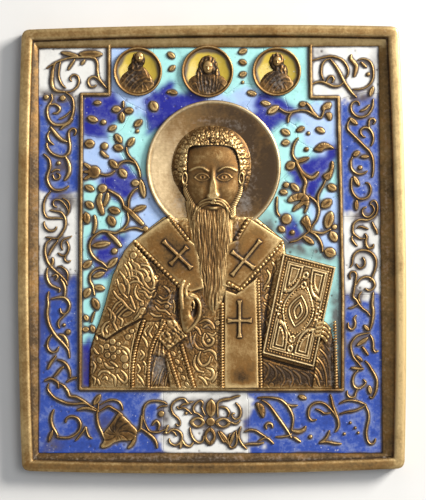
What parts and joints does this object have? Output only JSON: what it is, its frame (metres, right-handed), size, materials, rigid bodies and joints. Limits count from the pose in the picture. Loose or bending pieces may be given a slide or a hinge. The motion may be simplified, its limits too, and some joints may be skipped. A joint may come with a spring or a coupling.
{
  "type": "enamelled devotional plaque",
  "caption": "Rectangular cast bronze devotional plaque in relief, its sunk cells filled with coloured fired enamel around a haloed half figure.",
  "frame": {"origin": "centre of the flat back face, at the middle of the plaque's width and height", "axes": "+Z out of the picture face, +Y towards the top of the picture, +X to the viewer's right"},
  "size_m": [0.097, 0.112, 0.0056],
  "materials": {
    "bronze": "cast bronze with olive-gold worn tops and dark patina in the recesses",
    "enamel_white": "opaque white fired enamel, glossy and slightly pitted",
    "enamel_blue": "opaque blue fired enamel with lighter veining",
    "enamel_cobalt": "opaque deep cobalt fired enamel",
    "enamel_light_blue": "opaque pale blue fired enamel",
    "enamel_turquoise": "opaque pale turquoise fired enamel",
    "enamel_yellow": "opaque yellow fired enamel"
  },
  "bodies": {
    "root": {"cast_plaque": "bronze", "fill_blue_left_lower": "enamel_blue", "fill_blue_left_upper": "enamel_blue", "fill_blue_right_lower": "enamel_blue", "fill_blue_right_upper": "enamel_blue", "fill_cobalt_halo_left": "enamel_cobalt", "fill_cobalt_halo_right": "enamel_cobalt", "fill_cobalt_left_foot": "enamel_cobalt", "fill_cobalt_left_low": "enamel_cobalt", "fill_cobalt_left_middle": "enamel_cobalt", "fill_cobalt_left_top": "enamel_cobalt", "fill_cobalt_right": "enamel_cobalt", "fill_cobalt_right_low": "enamel_cobalt", "fill_light_halo_top": "enamel_light_blue", "fill_light_left": "enamel_light_blue", "fill_light_left_shoulder": "enamel_light_blue", "fill_light_right": "enamel_light_blue", "fill_light_right_top": "enamel_light_blue", "fill_light_strip_left": "enamel_light_blue", "fill_turquoise_halo_left": "enamel_turquoise", "fill_turquoise_halo_right": "enamel_turquoise", "fill_turquoise_left": "enamel_turquoise", "fill_turquoise_left_low": "enamel_turquoise", "fill_turquoise_right_edge": "enamel_turquoise", "fill_turquoise_right_low": "enamel_turquoise", "fill_turquoise_roundels_left": "enamel_turquoise", "fill_turquoise_roundels_right": "enamel_turquoise", "fill_turquoise_shoulder_right": "enamel_turquoise", "fill_turquoise_strip_right": "enamel_turquoise", "fill_white_corner_left": "enamel_white", "fill_white_corner_right": "enamel_white", "fill_white_foot": "enamel_white", "fill_white_left": "enamel_white", "fill_white_right": "enamel_white", "fill_yellow_roundel_left": "enamel_yellow", "fill_yellow_roundel_middle": "enamel_yellow", "fill_yellow_roundel_right": "enamel_yellow"}
  },
  "joints": []
}
